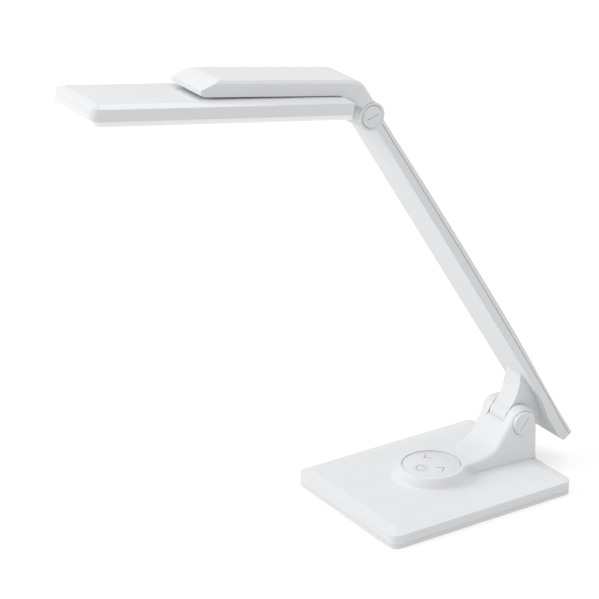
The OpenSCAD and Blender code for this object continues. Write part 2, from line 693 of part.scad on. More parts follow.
module head_housing() color([0.93, 0.94, 0.94]) in_panel() difference() {
    bevel_block(panel_w, panel_l, panel_corner, side_z0, side_z1, panel_top, panel_bev_in);
    bevel_block(panel_w - 2 * wall, panel_l - 2 * wall, panel_corner - wall, side_z0 - 1, side_z1 - wall, panel_top - wall,
        panel_bev_in - wall);
    translate([0, -swivel_d - panel_mid, 0]) cylinder(40, spin_r, spin_r);
}

module head_frame() color([0.95, 0.95, 0.95]) in_panel() difference() {
    union() {
        slab(panel_w - 2 * rim_in, panel_l - 2 * rim_in, panel_corner - 1, rim_z0, side_z0);
        slab(panel_w - 2 * wall - 0.2, panel_l - 2 * wall - 0.2, panel_corner - wall, side_z0 - 0.01, side_z0 + 1.6);
    }
    slab(panel_w - 2 * rim_in - 4, panel_l - 2 * rim_in - 4, panel_corner - 2, rim_z0 - 1, rim_z0 + 2);
    slab(panel_w - 2 * rim_in - 7, panel_l - 2 * rim_in - 7, panel_corner - 2, rim_z0 - 1, side_z0 + 4);
}

module diffuser() color([0.97, 0.97, 0.95]) in_panel()
    slab(panel_w - 2 * rim_in - 4.1, panel_l - 2 * rim_in - 4.1, panel_corner - 2, rim_z0 + 0.3, rim_z0 + 2);

module reflector_tray() color([0.98, 0.98, 0.98]) in_panel() difference() {
    slab(panel_w - 2 * rim_in - 7.2, panel_l - 2 * rim_in - 7.2, 2.8, rim_z0 + 2.1, side_z0 + 3.2);
    slab(panel_w - 2 * rim_in - 9.2, panel_l - 2 * rim_in - 9.2, 2, rim_z0 + 1, side_z0 + 2.4);
    at_chips() cube([3.6, 3.6, 40], center = true);
    for (y = [-board_y, board_y]) translate([0, y, 0]) cylinder(40, 2.6, 2.6);
}

board_z = side_z0 + 3.3;

module led_board() color([0.75, 0.76, 0.78]) in_panel() difference() {
    slab(panel_w - 17.2, panel_l - 17.3, 3, board_z, board_z + 1.2);
    for (y = [-board_y, board_y]) translate([0, y, 0]) cylinder(40, 1.3, 1.3);
    translate([0, -swivel_d - panel_mid, 0]) cylinder(40, 11.5, 11.5);
}

module led_chips() color([0.98, 0.9, 0.5]) in_panel() at_chips() translate([0, 0, board_z - 0.4])
    cube([3, 3, 0.8], center = true);

module board_screws() color([0.6, 0.6, 0.62]) in_panel() for (y = [-board_y, board_y]) translate([0, y, 0]) {
    translate([0, 0, board_z - 0.9]) cylinder(0.9, 2.3, 2.3);
    translate([0, 0, board_z - 0.1]) cylinder(panel_top - wall - board_z, 1.2, 1.2);
}

module swivel_spindle() color([0.7, 0.7, 0.72]) in_head() translate([0, -swivel_d, 0]) difference() {
    union() {
        translate([0, 0, panel_top - wall - 2]) cylinder(2, 11, 11);
        translate([0, 0, panel_top - wall - 1]) cylinder(28 - panel_top, spin_r, spin_r);
    }
    translate([0, 0, -1]) cylinder(60, 2.4, 2.4);
}

module swivel_washer() color([0.3, 0.3, 0.3]) in_head() translate([0, -swivel_d, panel_top]) difference() {
    cylinder(16.9 - panel_top, 12.5, 12.5);
    translate([0, 0, -1]) cylinder(3, spin_r, spin_r);
}

module swivel_nut() color([0.7, 0.7, 0.72]) in_head() translate([0, -swivel_d, 22.25]) difference() {
    cylinder(2.6, 8, 8, $fn = 6);
    translate([0, 0, -1]) cylinder(5, spin_r, spin_r);
}

rubber_pad();
base_tray();
base_screws();
ballast_plate();
base_cover();
dc_inlet();
tower_housing();
tower_screws();
touch_gasket();
touch_disc();
control_board();
lower_bolt();
lower_nut();
lower_caps();
arm_knuckle();
arm_front_shell();
arm_rear_cover();
arm_stiffener();
arm_screws();
arm_lead();
lower_washers();
upper_bolt();
upper_nut();
upper_caps();
bracket_body();
bracket_cover();
bracket_screws();
upper_washers();
swivel_bush();
head_housing();
head_frame();
diffuser();
reflector_tray();
led_board();
led_chips();
board_screws();
swivel_spindle();
swivel_washer();
swivel_nut();
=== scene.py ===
"""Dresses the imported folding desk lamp: finishes, softened edges, moulded shells and touch marks."""

import json
import math

import bmesh
import bpy
from mathutils import Matrix, Vector
from mathutils.geometry import delaunay_2d_cdt


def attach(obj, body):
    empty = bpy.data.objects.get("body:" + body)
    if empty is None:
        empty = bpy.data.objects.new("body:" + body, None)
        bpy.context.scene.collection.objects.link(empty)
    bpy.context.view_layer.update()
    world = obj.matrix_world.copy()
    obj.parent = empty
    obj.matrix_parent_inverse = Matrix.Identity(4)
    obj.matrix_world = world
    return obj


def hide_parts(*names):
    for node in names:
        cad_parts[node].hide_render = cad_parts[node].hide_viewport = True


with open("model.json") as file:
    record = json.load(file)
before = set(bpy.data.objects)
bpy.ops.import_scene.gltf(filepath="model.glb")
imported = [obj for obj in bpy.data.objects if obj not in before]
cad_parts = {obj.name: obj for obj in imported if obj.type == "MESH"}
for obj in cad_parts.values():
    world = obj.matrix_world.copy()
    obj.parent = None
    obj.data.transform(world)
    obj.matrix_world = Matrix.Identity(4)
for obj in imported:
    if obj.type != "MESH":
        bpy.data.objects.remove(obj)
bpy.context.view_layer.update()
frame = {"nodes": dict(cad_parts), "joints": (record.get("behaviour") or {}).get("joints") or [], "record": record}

# ---- camera, fitted to the photograph -------------------------------------

CAMERA_AT = Vector((1.58614, -1.17899, 1.02545))
CAMERA_LOOKS_AT = Vector((-0.20303, 0.0, 0.09729))
LENS_MM = 160.59
SENSOR_MM = 36
FAR_CLIP = 30


def make_camera():
    """The scene's camera, aimed from the photograph's point of view."""
    data = bpy.data.cameras.new("camera")
    data.lens = LENS_MM
    data.sensor_width = SENSOR_MM
    data.clip_end = FAR_CLIP
    camera = bpy.data.objects.new("camera", data)
    bpy.context.scene.collection.objects.link(camera)
    camera.location = CAMERA_AT
    camera.rotation_mode = "QUATERNION"
    camera.rotation_quaternion = (CAMERA_LOOKS_AT - CAMERA_AT).to_track_quat("-Z", "Y")
    bpy.context.scene.camera = camera


# ---- shader building blocks ------------------------------------------------


def new_group(name, inputs, outputs):
    """An empty shader node group with (name, socket type, default) inputs and (name, type) outputs."""
    group = bpy.data.node_groups.new(name, "ShaderNodeTree")
    for label, kind, default in inputs:
        group.interface.new_socket(label, in_out="INPUT", socket_type=kind).default_value = default
    for label, kind in outputs:
        group.interface.new_socket(label, in_out="OUTPUT", socket_type=kind)
    return group, group.nodes.new("NodeGroupInput"), group.nodes.new("NodeGroupOutput")


def math_node(nodes, links, operation, a, b):
    """Output of a sum, product or the like of two values, each a number or a socket."""
    node = nodes.new("ShaderNodeMath")
    node.operation = operation
    for socket, value in zip(node.inputs, (a, b)):
        if isinstance(value, (int, float)):
            socket.default_value = value
        else:
            links.new(value, socket)
    return node.outputs[0]


def object_noise(nodes, links, scale, detail=3.0, roughness=0.5):
    """Noise fixed to the piece, its scale in features per metre."""
    place = nodes.new("ShaderNodeTexCoord")
    noise = nodes.new("ShaderNodeTexNoise")
    noise.inputs["Detail"].default_value = detail
    noise.inputs["Roughness"].default_value = roughness
    links.new(place.outputs["Object"], noise.inputs["Vector"])
    if isinstance(scale, (int, float)):
        noise.inputs["Scale"].default_value = scale
    else:
        links.new(scale, noise.inputs["Scale"])
    return noise.outputs["Fac"]


def centred(nodes, links, value, amount):
    """Noise from 0 to 1 turned into a swing of plus or minus half amount."""
    return math_node(nodes, links, "MULTIPLY", math_node(nodes, links, "SUBTRACT", value, 0.5), amount)


def build_coat_group():
    """Slight cloudiness in colour and gloss, with a fine skin texture for the bump."""
    group, given, made = new_group(
        "moulded_skin",
        [("Color", "NodeSocketColor", (0.8, 0.8, 0.8, 1)), ("Roughness", "NodeSocketFloat", 0.4),
         ("Cloud Scale", "NodeSocketFloat", 18.0), ("Colour Swing", "NodeSocketFloat", 0.02),
         ("Gloss Swing", "NodeSocketFloat", 0.08), ("Grain Scale", "NodeSocketFloat", 1800.0)],
        [("Color", "NodeSocketColor"), ("Roughness", "NodeSocketFloat"), ("Height", "NodeSocketFloat")])
    nodes, links = group.nodes, group.links
    cloud = object_noise(nodes, links, given.outputs["Cloud Scale"], 4.0, 0.6)
    grain = object_noise(nodes, links, given.outputs["Grain Scale"], 2.0)
    shade = math_node(nodes, links, "ADD", centred(nodes, links, cloud, given.outputs["Colour Swing"]), 1.0)
    tint = nodes.new("ShaderNodeVectorMath")
    tint.operation = "SCALE"
    links.new(given.outputs["Color"], tint.inputs[0])
    links.new(shade, tint.inputs["Scale"])
    links.new(tint.outputs[0], made.inputs["Color"])
    gloss = centred(nodes, links, cloud, given.outputs["Gloss Swing"])
    links.new(math_node(nodes, links, "ADD", given.outputs["Roughness"], gloss), made.inputs["Roughness"])
    links.new(grain, made.inputs["Height"])
    return group


COAT = build_coat_group()
CLOUD_SCALE = 18.0
BUMP_DISTANCE = 0.0005
COAT_ROUGHNESS = 0.08


def start_material(name):
    """A new material with its nodes, its links and its Principled BSDF."""
    material = bpy.data.materials.new(name)
    material.use_nodes = True
    nodes, links = material.node_tree.nodes, material.node_tree.links
    return material, nodes, links, nodes["Principled BSDF"]


def skin_material(name, color, roughness, swing=0.02, gloss_swing=0.08, grain=1800.0, bump=0.02,
                  metallic=0.0, coat=0.0, painted_glow=0.0):
    """A finish made from the shared skin: paint, moulded plastic, rubber or plated metal, with an optional painted
    glow of emission.
    """
    material, nodes, links, bsdf = start_material(name)
    skin = nodes.new("ShaderNodeGroup")
    skin.node_tree = COAT
    given = {"Color": (*color, 1), "Roughness": roughness, "Cloud Scale": CLOUD_SCALE,
             "Colour Swing": swing, "Gloss Swing": gloss_swing, "Grain Scale": grain}
    for label, value in given.items():
        skin.inputs[label].default_value = value
    relief = nodes.new("ShaderNodeBump")
    relief.inputs["Strength"].default_value = bump
    relief.inputs["Distance"].default_value = BUMP_DISTANCE
    links.new(skin.outputs["Height"], relief.inputs["Height"])
    links.new(skin.outputs["Color"], bsdf.inputs["Base Color"])
    links.new(skin.outputs["Roughness"], bsdf.inputs["Roughness"])
    links.new(relief.outputs["Normal"], bsdf.inputs["Normal"])
    bsdf.inputs["Metallic"].default_value = metallic
    bsdf.inputs["Coat Weight"].default_value = coat
    bsdf.inputs["Coat Roughness"].default_value = COAT_ROUGHNESS
    # Emission here is painted light, for a piece that is no lamp.
    if painted_glow:
        bsdf.inputs["Emission Color"].default_value = (1, 1, 1, 1)
        bsdf.inputs["Emission Strength"].default_value = painted_glow
    return material


WHITE = (0.78, 0.785, 0.79)
FINISH = {
    "shell_paint": skin_material("satin_enamel", WHITE, 0.42, bump=0.03),
    "panel_gloss": skin_material("gloss_moulding", WHITE, 0.14, bump=0.02, coat=0.4),
    "white_plastic": skin_material("satin_moulding", WHITE, 0.5, bump=0.03),
    "touch_gloss": skin_material("touch_pad_gloss", WHITE, 0.16, bump=0.01, coat=0.5),
    "diffuser_opal": skin_material("opal_diffuser", (0.86, 0.86, 0.84), 0.55, bump=0.04),
    "steel": skin_material("zinc_plated_steel", (0.55, 0.55, 0.56), 0.34, metallic=1.0,
                           gloss_swing=0.2, swing=0.1),
    "ballast": skin_material("raw_plate", (0.12, 0.12, 0.12), 0.6, metallic=0.8, swing=0.3, bump=0.2),
    "black_rubber": skin_material("matt_rubber", (0.02, 0.02, 0.02), 0.8, grain=900.0, bump=0.3),
    "dark_plastic": skin_material("black_moulding", (0.02, 0.02, 0.021), 0.45, bump=0.08),
    "nylon": skin_material("natural_nylon", (0.6, 0.58, 0.5), 0.5, bump=0.05),
    "board": skin_material("solder_mask", (0.02, 0.12, 0.05), 0.35, bump=0.05),
    "aluminium": skin_material("mill_aluminium", (0.75, 0.76, 0.77), 0.38, metallic=1.0, gloss_swing=0.15),
    "phosphor": skin_material("phosphor_dome", (0.85, 0.65, 0.15), 0.4, bump=0.02),
}
# The lip's finish carries a painted glow: emission that brightens it though it is no lamp.
LIP_PAINTED_GLOW = skin_material("lip_painted_glow", (0.92, 0.92, 0.915), 0.4, bump=0.02, painted_glow=0.1)
MARK_INK = skin_material("mark_ink", (0.3, 0.3, 0.31), 0.4, bump=0.0)
FAINT_INK = skin_material("faint_ink", (0.56, 0.56, 0.565), 0.4, bump=0.0)


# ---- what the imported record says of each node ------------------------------

BODY_OF = {node: body for body, nodes in frame["record"]["behaviour"]["bodies"].items() for node in nodes}
SLOT_OF = {part["node"]: part["material_slot"] for part in frame["record"]["subparts"]}


# ---- places of the moving bodies, so that pieces are drawn in their own side views ----

MM = 0.001
JOINT = {joint["name"]: joint for joint in frame["joints"]}
HINGE, UPPER_HINGE = [Vector(round(value / MM, 3) for value in JOINT[name]["pos_m"][1:])
                      for name in ("arm_tilt", "head_tilt")]
LEAN = math.radians(32.2)
SWIVEL_AXIS = JOINT["head_swivel"]["axis"]
HEAD_PITCH = -math.atan2(SWIVEL_AXIS[1], SWIVEL_AXIS[2])
IN_BASE = Matrix.Scale(MM, 4)
IN_ARM = Matrix.Translation(JOINT["arm_tilt"]["pos_m"]) @ Matrix.Rotation(LEAN, 4, "X") @ IN_BASE
IN_HEAD = Matrix.Translation(JOINT["head_tilt"]["pos_m"]) @ Matrix.Rotation(HEAD_PITCH, 4, "X") @ IN_BASE


# ---- outlines ----------------------------------------------------------------
# A side view is a list of (Y, Z) points in millimetres


def headed(degrees):
    """Unit vector of a side view, its angle counted from +Y towards +Z."""
    return Vector((math.cos(math.radians(degrees)), math.sin(math.radians(degrees))))


def turned(start, heading, radius, to_heading, step=4.0):
    """Points of an arc that leaves start along heading and bends to to_heading."""
    side = 1 if to_heading > heading else -1
    centre = start + radius * headed(heading + 90 * side)
    count = max(2, math.ceil(abs(to_heading - heading) / step))
    spots = []
    for i in range(1, count + 1):
        angle = heading + (to_heading - heading) * i / count
        spots.append(centre - radius * headed(angle + 90 * side))
    return spots


# ---- solids ------------------------------------------------------------------

WELD = 1e-5


def shade(piece, sharp):
    """Smooth shading, broken at edges sharper than the angle."""
    mesh = piece.data
    mesh.polygons.foreach_set("use_smooth", [True] * len(mesh.polygons))
    mesh.set_sharp_from_angle(angle=math.radians(sharp))


def dress(piece, body, slot, replaced, finish=None):
    """Gives a piece its finish and its body, and hides the CAD nodes that it stands for."""
    piece.data.materials.clear()
    piece.data.materials.append(finish or FINISH[slot])
    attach(piece, body)
    if replaced:
        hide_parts(*replaced)


def make_piece(name, bm, place, body=None, slot=None, replaced=(), sharp=32, finish=None):
    """A mesh object in the row frame: a dressed piece when it has a body, else a bare cutter."""
    bmesh.ops.remove_doubles(bm, verts=bm.verts, dist=WELD)
    bmesh.ops.recalc_face_normals(bm, faces=bm.faces)
    mesh = bpy.data.meshes.new(name)
    bm.to_mesh(mesh)
    bm.free()
    mesh.transform(place)
    piece = bpy.data.objects.new(name, mesh)
    bpy.context.scene.collection.objects.link(piece)
    shade(piece, sharp)
    if body:
        dress(piece, body, slot, replaced, finish)
    return piece


def bridge(bm, rings):
    """Faces between each closed ring of vertices and the next."""
    for low, high in zip(rings, rings[1:]):
        for i in range(len(low)):
            j = (i + 1) % len(low)
            bm.faces.new((low[i], low[j], high[j], high[i]))


def side_solid(bm, outline, left, right):
    """Carries a side view across X from left to right and returns its faces on those two sides."""
    ends = []
    for x in (left, right):
        ends.append([bm.verts.new((x, y, z)) for y, z in outline])
    bridge(bm, ends)
    return [bm.faces.new(ends[0]), bm.faces.new(reversed(ends[1]))]


def round_rims(bm, faces, radius):
    """Rounds the edges around the given flat faces."""
    edges = list({edge for face in faces for edge in face.edges})
    bmesh.ops.bevel(bm, geom=edges, offset=radius, segments=2, profile=0.5, affect="EDGES",
                    clamp_overlap=True)


def spun(bm, profile, place=Matrix.Identity(4), steps=96):
    """Turns a closed (radius, height) profile about Z, then moves it by place."""
    rings = []
    for radius, height in profile:
        ring = []
        for i in range(steps):
            angle = 2 * math.pi * i / steps
            spot = Vector((radius * math.cos(angle), radius * math.sin(angle), height))
            ring.append(bm.verts.new(place @ spot))
        rings.append(ring)
    bridge(bm, rings)
    bm.faces.new(reversed(rings[0]))
    bm.faces.new(rings[-1])


def hinge_place(hinge, hand=1):
    """Lays a spun shape along a hinge's axis, its height running out to one side."""
    return Matrix.Translation((0, *hinge)) @ Matrix.Rotation(math.radians(90 * hand), 4, "Y")


def baked(piece):
    """Applies a piece's modifiers to its mesh."""
    bpy.context.view_layer.update()
    mesh = bpy.data.meshes.new_from_object(piece.evaluated_get(bpy.context.evaluated_depsgraph_get()))
    piece.modifiers.clear()
    piece.data = mesh


def cut_away(piece, place, shapes, sharp):
    """Takes named shapes, drawn at place, out of a piece, and shades what is left."""
    cutters = [make_piece(name, bm, place) for name, bm in shapes.items()]
    for cutter in cutters:
        cut = piece.modifiers.new("cut", "BOOLEAN")
        cut.operation = "DIFFERENCE"
        cut.solver = "EXACT"
        cut.object = cutter
    baked(piece)
    for cutter in cutters:
        bpy.data.objects.remove(cutter)
    shade(piece, sharp)


# ---- hinge tower, pod, disc and knuckle -----------------------------------------
# Millimetres in the side view; heights stand above the table

BASE_TOP = 13.7
FOOT_Z = BASE_TOP - 0.5
POD_AHEAD = 3.4
POD_TOP = 23.9
POD_RADIUS = 27.9
POD_FOOT = 30.3
POD_ROUND = 1.1
FLARE = (34.0, 1.5)  # radius at the base, height
DISC_RADIUS = 24.25
DISC_GAP = 0.35
DISC_DROP = 0.5
DISC_THICK = 1.9
DISC_EASE = (0.25, 0.08)  # reach of the eased edge, inset at its middle
WELL_DEEP = 2.6
# places of the extra points along the tower's foot, back and front
FOOT_STOPS = (80.0, 70.0, 60.0, 50.0, 40.0, 32.0, 26.0, 20.0, 10.0, -POD_AHEAD)
BACK_STOPS = (42.0, 36.0, 30.0, 24.0, 18.0)
FRONT_STOPS = (17.0, 21.0)
EAR_AT = HINGE + Vector((0.3, 1.6))
EAR_RADIUS = 11.3
EAR_SLOPE = 55.5
EAR_BACK = 13.8
EAR_HALF = 21.2
SLOT_HALF = 10.9
LUG_RADIUS = 12.1
LUG_GAP = 0.4
LUG_HALF = 10.15
LIP = (Vector((59.3, 45.8)), 49.0)  # front end of the sloped lip, its height at the barrel
CAP_WELL = (10.75, 1.9)  # radius, depth
PLATEAU = (10.0, 27.0)
RAMP = ((29.3, 24.0), (34.0, 24.8), (38.0, 25.6), (42.2, 26.8), (45.2, 28.0), (48.0, 29.8), (50.3, 31.8),
        (52.3, 34.3), (54.2, 38.0))
FOOT_HALF = ((25.0, 18.0), (40.0, 19.2), (56.0, 20.4), (78.0, 22.2))  # Y, half width of the foot
POD_FILLET = 4.0
FILLET_END = 22.44
FILLET_REACH = 3.15
FOOT_RIM = 0.2
BACK_RIM = 2.6
TOP_RIMS = (1.4, 5.0)  # at the pod, over the ears
RIM_GROWS = (18.0, 45.0)  # Y where the rim starts to grow, run to its full radius
SLOT_FRONT = 20
SLOT_TOP = 80.0
SLOT_BEHIND = 4
SLOT_FALL = 7.2
VOXEL = 0.0005
SETTLE_ROUNDS = 10


def ramp_line():
    """Top line of the tower: level at the pod, a hollow rise, a straight face, the ear and the back."""
    ear_start = EAR_AT + EAR_RADIUS * headed(EAR_SLOPE + 90)
    line = [Vector((y, POD_TOP)) for y in (-POD_AHEAD, *PLATEAU)]
    line += [Vector(spot) for spot in RAMP]
    rise = ear_start - line[-1]
    line += [line[-1] + rise * share for share in (0.25, 0.5, 0.75, 1.0)]
    line += turned(ear_start, EAR_SLOPE, EAR_RADIUS, 0, 5.0)
    line += turned(line[-1], 0, EAR_BACK, -90, 5.0)
    back = EAR_AT.x + EAR_BACK
    line += [Vector((back, z)) for z in (*BACK_STOPS, FOOT_Z)]
    return line


def foot_half(y):
    """Half width of the tower's foot, with a fillet where it meets the pod."""
    if y < FILLET_END:
        reach = min(FILLET_END - y, FILLET_REACH)
        return FOOT_HALF[0][1] + POD_FILLET - math.sqrt(POD_FILLET ** 2 - reach ** 2)
    for (y0, h0), (y1, h1) in zip(FOOT_HALF, FOOT_HALF[1:]):
        if y <= y1:
            return h0 + (h1 - h0) * max(0.0, (y - y0) / (y1 - y0))
    return FOOT_HALF[-1][1]


def tower_half(spot):
    """Half width of the tower anywhere in its side view."""
    y, z = spot
    share = min(1.0, max(0.0, (z - BASE_TOP) / (HINGE.y - BASE_TOP)))
    upright = FOOT_HALF[-1][1] + (EAR_HALF - FOOT_HALF[-1][1]) * share
    return min(upright, foot_half(y))


def tower_round(spot):
    """Radius of the tower's rim: small at the pod, full over the ears, crisp at the foot."""
    y, z = spot
    if z < BASE_TOP + 0.1:
        return FOOT_RIM
    if y > EAR_AT.x + EAR_BACK - 1.0 and z < HINGE.y - 1.0:
        return BACK_RIM
    start, run = RIM_GROWS
    at_pod, at_ears = TOP_RIMS
    return at_pod + (at_ears - at_pod) * min(1.0, max(0.0, (y - start) / run))


def inward(outline, index):
    """Unit normal into a clockwise side view at one of its points."""
    ahead = (outline[(index + 1) % len(outline)] - outline[index]).normalized()
    behind = (outline[index] - outline[index - 1]).normalized()
    along = (ahead + behind).normalized()
    return Vector((along.y, -along.x))


def drafted_block(bm, outline, half_at, round_at, steps=7):
    """A side view carried across X, its half width and rim radius free to change along it."""
    normals = [inward(outline, i) for i in range(len(outline))]
    hands = {}
    for hand in (-1, 1):
        rings = []
        for k in range(steps + 1):
            turn = math.radians(90) * k / steps
            ring = []
            for spot, normal in zip(outline, normals):
                radius = round_at(spot)
                y, z = spot + normal * radius * (1 - math.cos(turn))
                ring.append(bm.verts.new((hand * (half_at(spot) - radius * (1 - math.sin(turn))), y, z)))
            rings.append(ring)
        hands[hand] = rings
        bridge(bm, rings)
        fill_side(bm, rings[-1], hand, half_at)
    bridge(bm, [hands[-1][0], hands[1][0]])


def fill_side(bm, ring, hand, half_at, spacing=2.0):
    """Closes one side with a fine net, so that its draft stays smooth."""
    edge = [Vector(vert.co.yz) for vert in ring]
    low = Vector((min(spot.x for spot in edge), min(spot.y for spot in edge)))
    high = Vector((max(spot.x for spot in edge), max(spot.y for spot in edge)))
    inner = []
    for i in range(1, int((high.x - low.x) / spacing)):
        for j in range(1, int((high.y - low.y) / spacing)):
            spot = low + Vector((i, j)) * spacing
            if min((spot - other).length for other in edge) > spacing * 0.6:
                inner.append(spot)
    spots, _, faces, origins, _, _ = delaunay_2d_cdt(edge + inner, [], [list(range(len(edge)))], 1, 1e-6)
    verts = []
    for spot, origin in zip(spots, origins):
        own = [i for i in origin if i < len(ring)]
        verts.append(ring[own[0]] if own else bm.verts.new((hand * half_at(spot), spot.x, spot.y)))
    for face in faces:
        bm.faces.new([verts[i] for i in face])


def pod_profile():
    """Half section of the pod: a flared foot, a leaning wall and an eased rim."""
    flare_r, flare_h = FLARE
    wall_low = BASE_TOP + flare_h
    profile = [(flare_r, FOOT_Z), (flare_r, BASE_TOP + 0.05)]
    for i in range(1, 9):
        share = i / 8
        profile.append((flare_r + (POD_FOOT - flare_r) * share, BASE_TOP + flare_h * share ** 1.6))
    wall_high = POD_TOP - POD_ROUND
    profile.append(((POD_FOOT + POD_RADIUS) / 2, (wall_low + wall_high) / 2))
    for k in range(6):
        turn = math.radians(90) * k / 5
        profile.append((POD_RADIUS - POD_ROUND * (1 - math.cos(turn)),
                        wall_high + POD_ROUND * math.sin(turn)))
    return profile


def slot_line():
    """Room for the knuckle between the ears, its front lip sloped to meet the barrel."""
    back = EAR_AT.x + EAR_BACK + SLOT_BEHIND
    radius = LUG_RADIUS + LUG_GAP
    lip, lip_high = LIP
    first = math.degrees(math.asin((lip_high - HINGE.y) / radius))
    barrel = [HINGE + radius * headed(angle) for angle in range(round(-180 - first), -92, 4)]
    bottom = HINGE.y - radius
    return [Vector((SLOT_FRONT, SLOT_TOP)), Vector((SLOT_FRONT, lip.y)), lip] + barrel + [
        Vector((HINGE.x, bottom)), Vector((back, bottom - SLOT_FALL)), Vector((back, SLOT_TOP))]


def make_tower():
    """Pod, ramp and ears melted into one moulding, with the disc's well, cap seats and slot cut in."""
    at_pod = Matrix.Translation((0, -POD_AHEAD, 0))
    bm = bmesh.new()
    spun(bm, pod_profile(), at_pod)
    line = ramp_line()
    foot = [Vector((y, FOOT_Z)) for y in FOOT_STOPS]
    front = [Vector((-POD_AHEAD, z)) for z in FRONT_STOPS]
    drafted_block(bm, line + foot + front, tower_half, tower_round)
    tower = make_piece("tower_moulding", bm, IN_BASE)
    melt = tower.modifiers.new("melt", "REMESH")
    melt.mode = "VOXEL"
    melt.voxel_size = VOXEL
    settle = tower.modifiers.new("settle", "SMOOTH")
    settle.factor = 0.5
    settle.iterations = SETTLE_ROUNDS
    baked(tower)
    well = bmesh.new()
    well_r = DISC_RADIUS + DISC_GAP
    spun(well, [(well_r, POD_TOP - WELL_DEEP), (well_r, POD_TOP + 3)], at_pod)
    cap_r, cap_deep = CAP_WELL
    seats = bmesh.new()
    for hand in (-1, 1):
        spun(seats, [(cap_r, EAR_HALF - cap_deep), (cap_r, EAR_HALF + 4)], hinge_place(HINGE, hand))
    slot = bmesh.new()
    side_solid(slot, slot_line(), -SLOT_HALF, SLOT_HALF)
    cut_away(tower, IN_BASE, {"disc_well": well, "cap_seats": seats, "knuckle_slot": slot}, 40)
    dress(tower, "base", "shell_paint", ["tower_housing"])


def make_disc():
    """The touch disc with an eased rim, standing a little below the pod's rim."""
    top = POD_TOP - DISC_DROP
    ease, turn = DISC_EASE
    bm = bmesh.new()
    spun(bm, [(DISC_RADIUS, top - DISC_THICK), (DISC_RADIUS, top - ease), (DISC_RADIUS - turn, top - turn),
              (DISC_RADIUS - ease, top)], Matrix.Translation((0, -POD_AHEAD, 0)))
    make_piece("touch_disc_face", bm, IN_BASE, "base", "touch_gloss", ["touch_disc"])


# hollow front of the arm's neck, from the shell down to the barrel
NECK = ((26.8, 31.0), (23.2, 31.0), (22.2, 28.5), (20.1, 25.3), (17.2, 21.9), (13.3, 18.9), (9.0, 16.1),
        (4.8, 14.0), (0.8, 12.2))
KNUCKLE_FOOT = ((0.0, -LUG_RADIUS), (13.6, -17.4), (18.0, -17.4), (26.8, -12.0))
KNUCKLE_RIM = 0.6


def make_knuckle():
    """The arm's barrel between the ears, with the hollow neck that runs up to the arm's shell."""
    outline = [Vector(spot) for spot in NECK]
    outline += [LUG_RADIUS * headed(angle) for angle in range(98, 270, 4)]
    outline += [Vector(spot) for spot in KNUCKLE_FOOT]
    bm = bmesh.new()
    sides = side_solid(bm, outline, -LUG_HALF, LUG_HALF)
    round_rims(bm, sides, KNUCKLE_RIM)
    make_piece("arm_knuckle_moulding", bm, IN_ARM, "arm", "white_plastic", ["arm_knuckle"])


# ---- bracket cover -------------------------------------------------------------
# Millimetres from the upper hinge, in the head's side view

CREST_TIP = Vector((-141.2, 30.5))
CREST_SLOPE = -0.785
NOSE_TIP = Vector((-157.2, 23.4))
NECK_END = Vector((0.3, 12.5))
NECK_HEADING = -48.22
ELBOW_RADIUS = 18.0
CREST_HALF = 18.8
BAR_HALF = 20.8
COVER_DEEP = 2.4
CREST_ROUND = 0.5
CREST_AHEAD = 20
CREST_STEPS = 12


def crest_line():
    """The bracket's top line from ahead of its nose, round the elbow, down to the fork."""
    along = headed(CREST_SLOPE)
    down = headed(NECK_HEADING)
    gap = NECK_END - CREST_TIP
    cross = along.x * down.y - along.y * down.x
    corner = CREST_TIP + along * ((gap.x * down.y - gap.y * down.x) / cross)
    reach = ELBOW_RADIUS * math.tan(math.radians(CREST_SLOPE - NECK_HEADING) / 2)
    bend = corner - along * reach
    start = CREST_TIP - along * CREST_AHEAD
    straight = bend - start
    line = [start + straight * (i / CREST_STEPS) for i in range(CREST_STEPS)] + [bend]
    line += turned(bend, CREST_SLOPE, ELBOW_RADIUS, NECK_HEADING, 4.0)
    return line + [line[-1] + (NECK_END - line[-1]) * share for share in (0.5, 1.0)]


def cover_section():
    """Half of the cover's cross-section as (half width, depth) with eased corners."""
    slant = Vector((BAR_HALF - CREST_HALF, COVER_DEEP)).normalized()
    crest = Vector((CREST_HALF, 0.0))
    foot = Vector((BAR_HALF, COVER_DEEP))
    points = [Vector((0.0, 0.0)), Vector((CREST_HALF * 0.5, 0.0)), crest - Vector((CREST_ROUND, 0))]
    points.append(crest + (slant - Vector((1, 0))) * CREST_ROUND * 0.22)
    points.append(crest + slant * CREST_ROUND)
    points += [foot - slant * CREST_ROUND * 0.7, foot + Vector((-0.02, CREST_ROUND * 0.1))]
    points.append(foot + Vector((0, 0.5)))
    return points


def make_bracket_cover():
    """The bracket's bevelled top shell, cut off along the slope of its nose."""
    line = crest_line()
    half = cover_section()
    section = half + [Vector((-point.x, point.y)) for point in reversed(half[1:])]
    bm = bmesh.new()
    rows = []
    for i, spot in enumerate(line):
        before = line[max(i - 1, 0)]
        after = line[min(i + 1, len(line) - 1)]
        along = (after - before).normalized()
        up = Vector((-along.y, along.x))
        rows.append([bm.verts.new((x, *(spot - up * deep))) for x, deep in section])
    bridge(bm, rows)
    bm.faces.new(rows[0])
    bm.faces.new(reversed(rows[-1]))
    nose = (CREST_TIP - NOSE_TIP).normalized()
    out = Vector((0, -nose.y, nose.x))
    cut = bmesh.ops.bisect_plane(bm, geom=bm.verts[:] + bm.edges[:] + bm.faces[:], plane_co=(0, *CREST_TIP),
                                 plane_no=out, clear_outer=True)
    rim = [item for item in cut["geom_cut"] if isinstance(item, bmesh.types.BMEdge)]
    bmesh.ops.edgeloop_fill(bm, edges=rim)
    make_piece("bracket_top_cover", bm, IN_HEAD, "bracket", "shell_paint", ["bracket_cover"], sharp=26)


# ---- light panel and its lip ---------------------------------------------------
# Millimetres from the upper hinge, with heights above it

